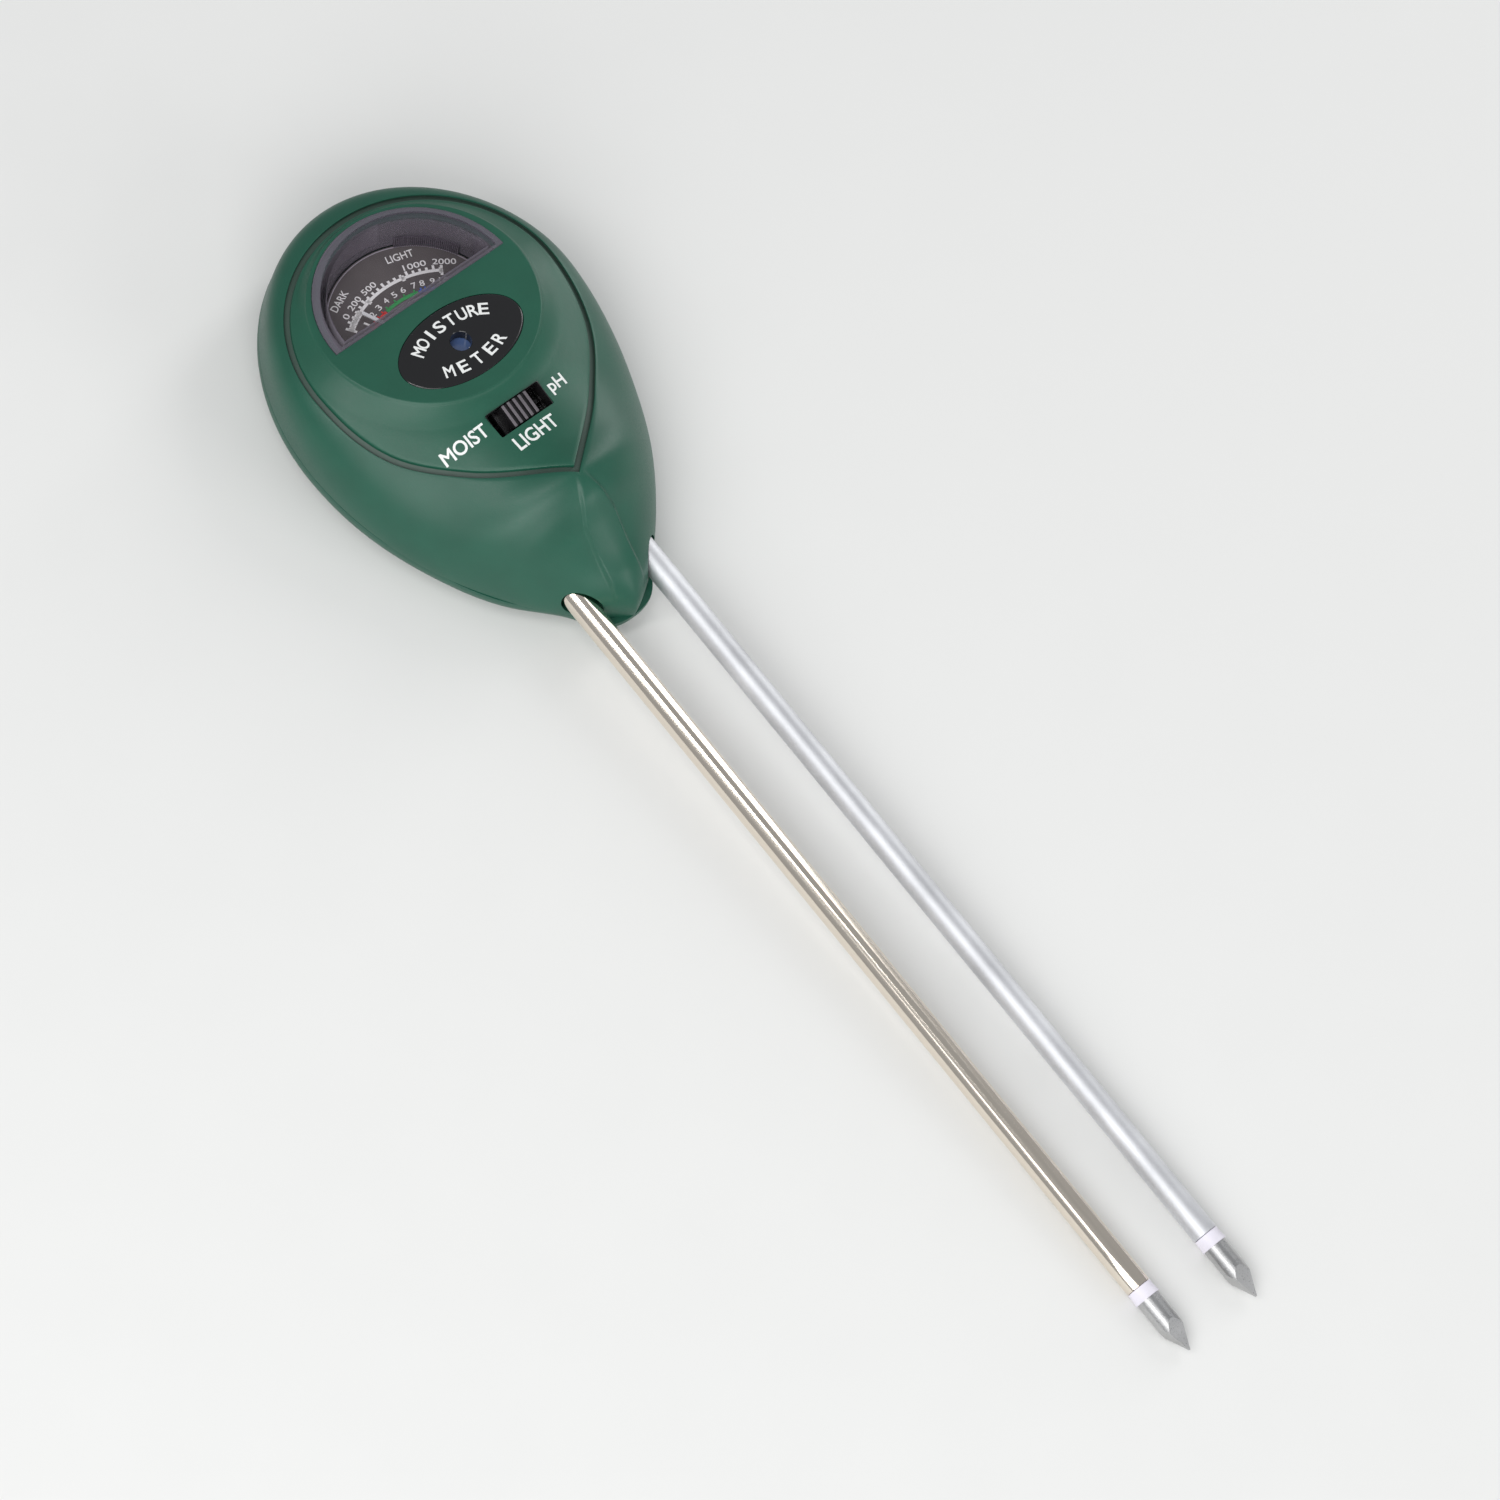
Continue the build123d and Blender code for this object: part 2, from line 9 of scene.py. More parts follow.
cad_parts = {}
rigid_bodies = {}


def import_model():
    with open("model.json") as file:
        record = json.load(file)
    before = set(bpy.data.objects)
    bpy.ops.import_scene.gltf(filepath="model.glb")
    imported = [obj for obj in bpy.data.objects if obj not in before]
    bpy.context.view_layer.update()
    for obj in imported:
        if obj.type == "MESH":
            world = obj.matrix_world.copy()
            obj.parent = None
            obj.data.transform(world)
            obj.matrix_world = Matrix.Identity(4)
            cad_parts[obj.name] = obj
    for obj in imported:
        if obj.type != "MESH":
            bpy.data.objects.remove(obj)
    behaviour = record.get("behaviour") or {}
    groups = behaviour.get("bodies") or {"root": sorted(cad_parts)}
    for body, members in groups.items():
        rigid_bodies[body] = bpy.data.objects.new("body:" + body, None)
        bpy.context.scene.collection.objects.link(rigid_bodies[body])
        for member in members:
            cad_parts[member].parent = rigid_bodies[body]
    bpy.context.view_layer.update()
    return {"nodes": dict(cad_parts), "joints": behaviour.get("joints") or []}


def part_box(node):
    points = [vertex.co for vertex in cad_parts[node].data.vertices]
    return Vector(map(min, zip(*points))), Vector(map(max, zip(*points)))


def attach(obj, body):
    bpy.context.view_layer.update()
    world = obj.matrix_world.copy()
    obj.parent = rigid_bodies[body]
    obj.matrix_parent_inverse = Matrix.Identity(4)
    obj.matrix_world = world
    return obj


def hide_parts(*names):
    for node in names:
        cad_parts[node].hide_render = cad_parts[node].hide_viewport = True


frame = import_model()
MM = 0.001

# ---- Places in the housing: millimetres, x across, y towards the head, z out of the seam ----
PROBE_X = 8.4
PROBE_HEIGHT = 3.4
HOLE_RADIUS = 3.0
HALF_WIDTH = 32.4
WIDEST_Y = -11.0
HEAD_LENGTH = 38.5
NOSE_LENGTH = 56.5
NOSE_POWER = 0.79
NOSE_ROUND = (-60.0, 7.5)  # where the crown starts to round off to the nose, and over what length
HUB_Y = -14.0  # lines from the rim of the groove to the outline run away from here
TURRET_RADIUS = 22.0
TURRET_HEIGHT = 16.3
TURRET_TILT = radians(10.5)
SLOT_Y = -27.5
SLOT_HEIGHT = 19.3
SLOT_TILT = radians(-8)
SLOT_SIZE = (12.5, 5.2)
KNOB_SIZE = (5.8, 4.6)
GROOVE = 1.1
GROOVE_DEPTH = 0.9
GROOVE_CENTRE_Y = -4.0
GROOVE_TOP = (27.9, 27.3)  # half axes of the rim of the groove around the turret
GROOVE_FLANK = [(GROOVE_TOP[0], GROOVE_CENTRE_Y), (24.4, -20.5), (15.2, -32.0), (0.0, -44.0)]
POINT_RUN = (-0.77, -0.64)  # direction of the rim where it reaches its point
WINDOW_RADIUS = 20.0
WINDOW_Y = 0.9
FLANGE = 1.6
CHORD_SHARE = (0.3, 0.5)  # how much the window's straight edge moves inwards, on the flange and beyond it
CARD_DEPTH = 8.0
PIVOT_Y = -9.0
PIVOT_DEPTH = 7.3  # middle of the needle's pivot below the turret face
LABEL_Y = -10.7
LABEL_SIZE = (13.5, 7.75)
SENSOR_RADIUS = 2.05
# Crown of the housing on its middle line, and how square its cross-section is.
CROWN = [(-67.5, 7.0), (-63.5, 8.6), (-58.5, 11.2), (-53, 15.6), (-48, 20.4), (-43.5, 22.4),
         (-37, 21.0), (-30, 19.7), (-22, 18.9), (-12, 17.6), (0, 15.6), (27.5, 10.4)]
FULLNESS = [(-67.5, 1.9), (-48, 1.72), (-36, 1.8), (-24, 2.25), (-12, 3.2), (0, 4.9), (12, 6.2),
            (27.5, 7.5)]
# Half-width of the raised tongue down the chin, and its height.
TONGUE_WIDTH = [(-62, 3.5), (-52, 3.5), (-48, 2.2), (-44.5, 0.7)]
TONGUE_RISE = [(-67.5, 0.0), (-64.5, 0.35), (-61, 0.8), (-50, 0.8), (-46.5, 0.45), (-44.5, 0.0)]
TONGUE_FLANK = (0.35, 0.6)  # how far the tongue's flank reaches past its half-width, and its width
TONGUE_SHARE = 0.1  # the tongue rises at most by this share of the height under it

# Points along curves. A window outline has its round part first, then its straight edge.
TOP_STEPS = 90
FLANK_STEPS = (32, 34, 64)
POINT_CROWDING = 1.35  # above 1, points lie closer together towards the point of the groove
OUTLINE_STEPS = 1500
WINDOW_STEPS = 96
CHORD_STEPS = 26
LABEL_STEPS = 128

# The needle's axis is square to the turret face, which gives the lie of the whole housing.
swing = next(j for j in frame["joints"] if j["name"] == "needle_swing")
lie = TURRET_TILT - atan2(swing["axis"][1], swing["axis"][2]) % pi
AXES = np.array([(1, 0, 0), (0, cos(lie), sin(lie)), (0, -sin(lie), cos(lie))])


def leaning(points, y, z, tilt):
    """Points (across, up the face, out of it) of a plane through (y, z) that leans to the head by tilt."""
    u, v, h = np.asarray(points, float).reshape(-1, 3).T
    return np.column_stack([u, y + v * cos(tilt) + h * sin(tilt), z - v * sin(tilt) + h * cos(tilt)])


def on_turret(points):
    return leaning(points, 0, TURRET_HEIGHT, TURRET_TILT)


def on_slot(points):
    return leaning(points, SLOT_Y, SLOT_HEIGHT, SLOT_TILT)


pivot = on_turret([0, PIVOT_Y, -PIVOT_DEPTH])[0]
SEAM_ORIGIN = np.array(swing["pos_m"]) - pivot @ AXES * MM


def world(points):
    """Housing millimetres to the frame's metres."""
    return SEAM_ORIGIN + np.asarray(points, float).reshape(-1, 3) @ AXES * MM


# ---- Surface of the housing ----
def smooth_table(rows, y):
    """Monotone cubic through (y, value) rows."""
    xs, vs = np.array(rows, float).T
    h = np.diff(xs)
    d = np.diff(vs) / h
    slope = np.zeros(len(xs))
    slope[0], slope[-1] = d[0], d[-1]
    same = d[:-1] * d[1:] > 0
    safe = np.where(same, d[:-1] * d[1:], 1)
    slope[1:-1] = np.where(same, 2 * safe / np.where(same, d[:-1] + d[1:], 1), 0)
    y = np.clip(y, xs[0], xs[-1])
    i = np.clip(np.searchsorted(xs, y) - 1, 0, len(h) - 1)
    t = (y - xs[i]) / h[i]
    return (vs[i] * (1 + 2 * t) * (1 - t) ** 2 + slope[i] * h[i] * t * (1 - t) ** 2
            + vs[i + 1] * t * t * (3 - 2 * t) + slope[i + 1] * h[i] * t * t * (t - 1))


def smoothstep(t):
    t = np.clip(t, 0, 1)
    return t * t * (3 - 2 * t)


def egg_fraction(x, y):
    """0 on the middle of the housing, 1 on its outline."""
    head = np.sqrt((x / HALF_WIDTH) ** 2 + ((y - WIDEST_Y) / HEAD_LENGTH) ** 2)
    u = np.clip((WIDEST_Y - y) / NOSE_LENGTH, 0, 0.99999)  # short of 1, where the width is nothing
    nose = np.abs(x) / (HALF_WIDTH * (1 - u * u) ** NOSE_POWER)
    return np.where(y >= WIDEST_Y, head, nose)


def dome(x, y):
    """Height of the front of the housing over the seam."""
    n = smooth_table(FULLNESS, y)
    rim = np.clip(egg_fraction(x, y), 0, 1)
    nose_end = np.clip((NOSE_ROUND[0] - y) / NOSE_ROUND[1], 0, 1)
    crown = smooth_table(CROWN, y) * (1 - nose_end ** 3) ** (1 / 3)
    width = np.interp(y, *np.array(TONGUE_WIDTH).T)
    flank = smoothstep((width + TONGUE_FLANK[0] - np.abs(x)) / TONGUE_FLANK[1])
    rise = smooth_table(TONGUE_RISE, y) * flank
    body = crown * (1 - rim ** n) ** (1 / n)
    return body + np.minimum(rise, TONGUE_SHARE * body)


def turret_height(x, y):
    return TURRET_HEIGHT - y * tan(TURRET_TILT)


# ---- Outlines, as the right half from the head down to the nose ----
def teardrop_half():
    """Rim of the groove: half an ellipse, then a flank that runs to the point above the chin."""
    a = np.linspace(0, pi / 2, TOP_STEPS, endpoint=False)
    top = np.column_stack([GROOVE_TOP[0] * np.sin(a), GROOVE_CENTRE_Y + GROOVE_TOP[1] * np.cos(a)])
    knots = np.array(GROOVE_FLANK)
    spans = np.linalg.norm(np.diff(knots, axis=0), axis=1)
    slopes = [np.array([0.0, -1.0])]
    for i in (1, 2):
        before = (knots[i] - knots[i - 1]) / spans[i - 1]
        after = (knots[i + 1] - knots[i]) / spans[i]
        blend = (before * spans[i] + after * spans[i - 1]) / (spans[i] + spans[i - 1])
        slopes.append(blend / np.linalg.norm(blend))
    slopes.append(np.array(POINT_RUN))
    flank = []
    for i, steps in enumerate(FLANK_STEPS):
        t = np.linspace(0, 1, steps, endpoint=False)[:, None]
        if i == len(FLANK_STEPS) - 1:
            t = 1 - (1 - t) ** POINT_CROWDING
        h = spans[i]
        flank.append(knots[i] * (1 + 2 * t) * (1 - t) ** 2 + slopes[i] * h * t * (1 - t) ** 2
                     + knots[i + 1] * t * t * (3 - 2 * t) + slopes[i + 1] * h * t * t * (t - 1))
    return np.vstack([top, *flank, knots[-1]])


TEARDROP = teardrop_half()
edge = np.gradient(TEARDROP, axis=0)
edge /= np.linalg.norm(edge, axis=1)[:, None]
edge[0], edge[-1] = (1, 0), POINT_RUN
NORMALS = np.column_stack([-edge[:, 1], edge[:, 0]])


def teardrop(grow):
    """The rim moved outwards by grow, with its point kept sharp."""
    points = TEARDROP + NORMALS * grow
    point = np.array([0, TEARDROP[-1, 1] + grow / NORMALS[-1, 1]])
    points[points[:, 0] < 0] = point
    points[0, 0] = 0
    points[-1] = point
    return points


def egg_half():
    """Outline of the housing, at the points where lines from the rim of the groove meet it."""
    t = np.linspace(0, 1, OUTLINE_STEPS)
    y_head = WIDEST_Y + HEAD_LENGTH * np.cos(t * pi / 2)
    y_nose = WIDEST_Y - NOSE_LENGTH * np.sin(t[1:] * pi / 2)
    head = np.column_stack([HALF_WIDTH * np.sin(t * pi / 2), y_head])
    u = (WIDEST_Y - y_nose) / NOSE_LENGTH
    nose = np.column_stack([HALF_WIDTH * np.clip(1 - u * u, 0, 1) ** NOSE_POWER, y_nose])
    outline = np.vstack([head, nose])

    def bearing(points):
        return np.arctan2(points[:, 0], HUB_Y - points[:, 1])

    # Near the point of the groove the lines run straight down the chin instead of away from the hub.
    chin_top, middle, fade = -25, 4, 10
    same_x = np.interp(TEARDROP[:, 0], nose[::-1, 0], bearing(nose[::-1]))
    straight = np.where(TEARDROP[:, 1] < chin_top, 1 - smoothstep((TEARDROP[:, 0] - middle) / fade), 0)
    wanted = bearing(TEARDROP) * (1 - straight) + same_x * straight
    return np.column_stack([np.interp(wanted, bearing(outline)[::-1], outline[::-1, i]) for i in (0, 1)])


EGG = egg_half()


def whole(half):
    """A closed ring of points from its right half."""
    return np.vstack([half, (half * [-1, 1])[-2:0:-1]])


def raised(ring, height, drop=0.0):
    """A flat ring with z from a height function."""
    return np.column_stack([ring, height(ring[:, 0], ring[:, 1]) - drop])


# ---- Mesh helpers ----
def make(name, points, faces, materials, body="housing", smooth=40, second=()):
    """A piece from housing millimetres that rides on a body. Faces in second take the second material."""
    mesh = bpy.data.meshes.new(name)
    mesh.from_pydata(world(points).tolist(), [], [tuple(int(i) for i in f) for f in faces])
    for i in second:
        mesh.polygons[i].material_index = 1
    bm = bmesh.new()
    bm.from_mesh(mesh)
    bmesh.ops.remove_doubles(bm, verts=bm.verts, dist=1e-7)
    bmesh.ops.recalc_face_normals(bm, faces=bm.faces)
    bm.to_mesh(mesh)
    bm.free()
    piece = bpy.data.objects.new(name, mesh)
    bpy.context.scene.collection.objects.link(piece)
    for material in materials if isinstance(materials, list) else [materials]:
        mesh.materials.append(material)
    soften(mesh, smooth)
    if body:
        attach(piece, body)
    return piece


def soften(mesh, angle):
    """Smooth shading that stays sharp over the given angle in degrees."""
    mesh.polygons.foreach_set("use_smooth", [True] * len(mesh.polygons))
    mesh.set_sharp_from_angle(angle=radians(angle))


def loft(rings, closed=False):
    """Points and faces of rings joined in order, with caps unless the last ring joins the first."""
    n = len(rings[0])
    faces = []
    pairs = [(i, i + 1) for i in range(len(rings) - 1)]
    if closed:
        pairs.append((len(rings) - 1, 0))
    for a, b in pairs:
        for j in range(n):
            k = (j + 1) % n
            faces.append((a * n + j, a * n + k, b * n + k, b * n + j))
    if not closed:
        faces.append(tuple(range(n))[::-1])
        faces.append(tuple(range((len(rings) - 1) * n, len(rings) * n)))
    return np.vstack(rings), faces


def flat_at(ring, height, place):
    """A flat ring at one height of a leaning plane."""
    return place(np.column_stack([ring, np.full(len(ring), float(height))]))


def prism(ring, low, high, place):
    """Straight cutter over a flat ring, between two heights of a leaning plane."""
    return loft([flat_at(ring, h, place) for h in (low, high)])


def rounded_box(size, radius, steps=8):
    """Flat ring of a rectangle with round corners."""
    ring = []
    for i, (sx, sy) in enumerate([(1, 1), (-1, 1), (-1, -1), (1, -1)]):
        a = np.linspace(i * pi / 2, (i + 1) * pi / 2, steps)
        ring.append(np.column_stack([sx * (size[0] / 2 - radius) + radius * np.cos(a),
                                     sy * (size[1] / 2 - radius) + radius * np.sin(a)]))
    return np.vstack(ring)


def ellipse(rx, ry, steps=96, y=0.0):
    a = np.linspace(0, 2 * pi, steps, endpoint=False)
    return np.column_stack([rx * np.cos(a), y + ry * np.sin(a)])


def half_disc(inset):
    """Window outline moved inwards. The straight edge moves less, because its flange is narrow."""
    radius = WINDOW_RADIUS - inset
    chord = CHORD_SHARE[0] * min(inset, FLANGE) + CHORD_SHARE[1] * max(inset - FLANGE, 0)
    start = np.arcsin(chord / radius)
    a = np.linspace(start, pi - start, WINDOW_STEPS)
    arc = np.column_stack([radius * np.cos(a), WINDOW_Y + radius * np.sin(a)])
    x = np.linspace(arc[-1, 0], arc[0, 0], CHORD_STEPS)[1:-1]
    return np.vstack([arc, np.column_stack([x, np.full(len(x), WINDOW_Y + chord)])])


def cut(piece, cutters):
    """Takes closed cutters out of a piece for good."""
    for points, faces in cutters:
        cutter = make("cutter", points, faces, [], body=None)
        step = piece.modifiers.new("cut", "BOOLEAN")
        step.operation, step.solver, step.object = "DIFFERENCE", "EXACT", cutter
    bpy.context.view_layer.update()
    graph = bpy.context.evaluated_depsgraph_get()
    mesh = bpy.data.meshes.new_from_object(piece.evaluated_get(graph), depsgraph=graph)
    piece.modifiers.clear()
    piece.data = mesh
    soften(mesh, 35)
    for spare in [o for o in bpy.data.objects if o.name.startswith("cutter")]:
        bpy.data.objects.remove(spare)


def lathe(profile, centre, steps=96):
    """Closed turned shape about a line along the probes. The profile has (y, radius) points."""
    a = np.linspace(0, 2 * pi, steps, endpoint=False)
    rings = [np.column_stack([centre[0] + r * np.cos(a), np.full(steps, y), centre[1] + r * np.sin(a)])
             for y, r in profile]
    return loft(rings)


# ---- Materials ----
def linear(colour):
    """0 to 255 screen colour to the shader's values."""
    parts = [c / 255 for c in colour]
    return [c / 12.92 if c < 0.04045 else ((c + 0.055) / 1.055) ** 2.4 for c in parts] + [1]


def spread_over(nodes, links, source, span, result):
    """A node that turns a source's span of values into another span."""
    node = nodes.new("ShaderNodeMapRange")
    node.inputs["From Min"].default_value, node.inputs["From Max"].default_value = span
    node.inputs["To Min"].default_value, node.inputs["To Max"].default_value = result
    links.new(source, node.inputs["Value"])
    return node.outputs["Result"]


def finish(name, colour, rough, grain=0.3, relief=0.01, vary=0.1, metal=0.0, stretch=(1, 1, 1),
           coat=0.0, pits=0.0, spread=0.06):
    """Material with fine grain, broad drift of colour and uneven gloss.

    Grain, relief and the distance between pits are in mm. Vary is the drift of the colour, and spread that
    of the roughness.
    """
    drift_size, grain_share = 30, 0.4  # the drift is this much wider than the grain, and the grain weaker
    mat = bpy.data.materials.new(name)
    mat.use_nodes = True
    nodes, links = mat.node_tree.nodes, mat.node_tree.links
    shader = nodes["Principled BSDF"]
    coord = nodes.new("ShaderNodeTexCoord")
    mapping = nodes.new("ShaderNodeMapping")
    mapping.inputs["Scale"].default_value = stretch
    links.new(coord.outputs["Object"], mapping.inputs["Vector"])

    def noise(size, detail):
        node = nodes.new("ShaderNodeTexNoise")
        node.inputs["Scale"].default_value = 1 / (size * MM)
        node.inputs["Detail"].default_value = detail
        links.new(mapping.outputs["Vector"], node.inputs["Vector"])
        return node.outputs["Fac"]

    fine, broad = noise(grain, 3), noise(grain * drift_size, 2)
    both = nodes.new("ShaderNodeMath")
    both.operation = "MULTIPLY_ADD"
    links.new(fine, both.inputs[0])
    both.inputs[1].default_value = grain_share
    links.new(broad, both.inputs[2])
    ramp = nodes.new("ShaderNodeValToRGB")
    base = linear(colour)
    dark, light = ramp.color_ramp.elements
    dark.position, light.position = 0.4, 1.0
    dark.color = [c * (1 - vary) for c in base[:3]] + [1]
    light.color = [min(c * (1 + vary), 1) for c in base[:3]] + [1]
    links.new(both.outputs[0], ramp.inputs["Fac"])
    links.new(ramp.outputs["Color"], shader.inputs["Base Color"])
    gloss = spread_over(nodes, links, fine, (0.3, 0.7), (max(rough - spread, 0.02), rough + spread))
    links.new(gloss, shader.inputs["Roughness"])
    height = fine
    if pits:
        spots = nodes.new("ShaderNodeTexVoronoi")
        spots.inputs["Scale"].default_value = 1 / (pits * MM)
        links.new(coord.outputs["Object"], spots.inputs["Vector"])
        holes = spread_over(nodes, links, spots.outputs["Distance"], (0.05, 0.18), (-1.5, 0.0))
        add = nodes.new("ShaderNodeMath")
        links.new(fine, add.inputs[0])
        links.new(holes, add.inputs[1])
        height = add.outputs[0]
    bump = nodes.new("ShaderNodeBump")
    bump.inputs["Distance"].default_value = relief * MM
    links.new(height, bump.inputs["Height"])
    links.new(bump.outputs["Normal"], shader.inputs["Normal"])
    shader.inputs["Metallic"].default_value = metal
    shader.inputs["Coat Weight"].default_value = coat
    shader.inputs["Coat Roughness"].default_value = 0.05
    return mat


def clear(name, tint, through, rough):
    """Clear plastic: a sheet that lets light through, under an uneven gloss that grows at the edges."""
    edge_gain = 0.5
    mat = finish(name, tint, rough, grain=6, relief=0.001, spread=0.01)
    nodes, links = mat.node_tree.nodes, mat.node_tree.links
    shader = nodes["Principled BSDF"]
    glass = nodes.new("ShaderNodeBsdfTransparent")
    glass.inputs["Color"].default_value = linear([252, 251, 253])
    edge_on = nodes.new("ShaderNodeLayerWeight")
    edge_on.inputs["Blend"].default_value = 0.12
    share = spread_over(nodes, links, edge_on.outputs["Fresnel"], (0, 1),
                        (1 - through, min(1 + edge_gain - through, 1)))
    mix = nodes.new("ShaderNodeMixShader")
    links.new(share, mix.inputs["Fac"])
    links.new(glass.outputs[0], mix.inputs[1])
    links.new(shader.outputs[0], mix.inputs[2])
    links.new(mix.outputs[0], nodes["Material Output"].inputs["Surface"])
    return mat


green = finish("shell_green", (20, 80, 62), 0.42, grain=0.28, relief=0.012)
panel = finish("face_green", (22, 82, 63), 0.42, grain=0.28, relief=0.010)
# The groove's floor is the same green plastic; this greyer green is painted shade and sheen down in the
# groove.
groove_shade_and_sheen = finish("groove_shade_and_sheen", (58, 78, 69), 0.55, grain=0.25, relief=0.01)
print_white = finish("print_white", (232, 234, 232), 0.5, grain=0.12, relief=0.004, vary=0.05)
dial_white = finish("dial_white", (250, 249, 244), 0.6, grain=0.12, relief=0.003, vary=0.06)
dial_red = finish("dial_red", (225, 60, 54), 0.6, grain=0.12, relief=0.003)
dial_green = finish("dial_green", (66, 170, 96), 0.6, grain=0.12, relief=0.003)
dial_blue = finish("dial_blue", (76, 116, 215), 0.6, grain=0.12, relief=0.003)
card_grey = finish("card_grey", (98, 93, 91), 0.62, grain=0.2, relief=0.004)
cup_grey = finish("cup_grey", (96, 90, 98), 0.3, grain=0.3, relief=0.006)
# A lighter copy of the cup's grey, for the thin bright line at the card's edge: a painted highlight.
cup_edge_highlight = finish("cup_edge_highlight", (186, 180, 188), 0.25, grain=0.3, relief=0.004)
label_black = finish("label_black", (20, 20, 22), 0.16, grain=0.6, relief=0.001, coat=0.15, spread=0.03)
black = finish("moulded_black", (30, 29, 31), 0.3, grain=0.25, relief=0.01)
# A light grey for the tops of the knob's ribs: a painted highlight on the same black plastic.
painted_rib_highlight = finish("painted_rib_highlight", (104, 99, 104), 0.3, grain=0.2, relief=0.01, vary=0.2)
cell = finish("cell_blue", (84, 108, 156), 0.12, grain=0.5, relief=0.003, coat=0.8, spread=0.03)
nickel = finish("polished_nickel", (236, 226, 212), 0.13, grain=0.5, relief=0.0001, metal=1.0, vary=0.08,
                stretch=(1, 0.04, 1), spread=0.004)
aluminium = finish("matt_aluminium", (212, 213, 216), 0.56, grain=0.2, relief=0.008, metal=1.0, vary=0.16,
                   stretch=(1, 0.5, 1), pits=1.3, spread=0.06)
tip_metal = finish("tip_metal", (186, 186, 186), 0.32, grain=0.2, relief=0.004, metal=1.0, vary=0.12)
ring_white = finish("ring_white", (226, 222, 232), 0.42, grain=0.2, relief=0.004, vary=0.05)
steel = finish("steel", (190, 190, 192), 0.28, grain=0.2, relief=0.003, metal=1.0, stretch=(1, 0.2, 1))
brass = finish("brass", (196, 160, 92), 0.3, grain=0.2, relief=0.004, metal=1.0)
copper = finish("copper", (190, 96, 60), 0.35, grain=0.12, relief=0.01, metal=1.0, stretch=(0.2, 1, 1))
phenolic = finish("phenolic", (110, 70, 38), 0.6, grain=0.3, relief=0.008)
resistor = finish("resistor", (206, 180, 140), 0.3, grain=0.3, relief=0.004)
wires = {"red": (160, 24, 20), "black": (24, 24, 24), "blue": (24, 48, 140)}
wires = {k: finish("wire_" + k, c, 0.4, grain=0.3, relief=0.004) for k, c in wires.items()}
window_clear = clear("window_clear", (90, 86, 94), 0.98, 0.05)
window_lip = clear("window_lip", (132, 126, 138), 0.62, 0.14)
window_wall = clear("window_wall", (156, 150, 158), 0.66, 0.2)

node_materials = {
    "back_cover": green, "cover_screws": steel, "dial_card": card_grey, "sensor_holder": black,
    "light_sensor": cell, "movement_tray": black, "needle": print_white, "needle_hub": brass,
    "moving_coil": copper, "pivot_spindle": steel, "magnet_core": steel, "magnet_yoke": steel,
    "hairspring": brass, "upper_bridge": brass, "lower_bridge": black, "jewel_screws": brass,
    "needle_stops": brass, "switch_frame": steel, "switch_base": black, "switch_terminals": brass,
    "circuit_board": phenolic, "board_resistors": resistor, "insulating_rings": ring_white,
    "probe_tips": tip_metal, "probe_clamp": black, "solder_tags": brass,
    "left_probe_wire": wires["red"], "right_probe_wire": wires["black"], "meter_wire": wires["blue"],
}
for node, material in node_materials.items():
    mesh = frame["nodes"][node].data
    mesh.materials.clear()
    mesh.materials.append(material)


# ---- Front shell and face panel ----
def build_shell():
    """Front moulding: rim of the groove, domed flanks, tongue, and a wall down to the seam."""
    shelf = 0.6  # the floor of the groove runs this far in under the face insert
    lip = [(0.0, GROOVE_DEPTH), (0.0, 0.3), (0.09, 0.09), (0.3, 0.0)]  # (growth, drop) of the rounded rim
    steps, rim_crowding = 64, 2.4
    seam_chamfer, seam_inset = 0.14, (0.992, 1)
    shrink = np.array([0.93, 0.93, 0.86])  # from the outside of the wall to its inside
    rings = [raised(whole(teardrop(-GROOVE - shelf)), dome, GROOVE_DEPTH)]
    rings += [raised(whole(teardrop(grow)), dome, drop) for grow, drop in lip]
    start = whole(teardrop(lip[-1][0]))
    outline = whole(EGG)
    for i in range(1, steps):
        s = 1 - (1 - i / steps) ** rim_crowding
        rings.append(raised(start + (outline - start) * s, dome))
    flat = np.column_stack([outline, np.full(len(outline), seam_chamfer)])
    rings += [flat, np.column_stack([outline * seam_inset, np.zeros(len(outline))])]
    centre = np.array([0, HUB_Y, 0])
    first, every = len(lip) + 2, 4  # the inside takes every fourth ring of the flank
    inner = [centre + (r - centre) * shrink for r in rings[first:-2:every]]
    base = centre + (flat - centre) * shrink
    base[:, 2] = 0
    rings += [base] + inner[::-1]
    points, faces = loft(rings, closed=True)
    # These faces, the floor of the groove, take the greyer green of painted shade and sheen.
    groove_faces = range(2 * len(start))
    piece = make("front_moulding", points, faces, [green, groove_shade_and_sheen], second=groove_faces)
    hole = [(-75, HOLE_RADIUS), (-44, HOLE_RADIUS)]
    cut(piece, [lathe(hole, (side * PROBE_X, PROBE_HEIGHT), 64) for side in (-1, 1)])
    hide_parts("front_shell")


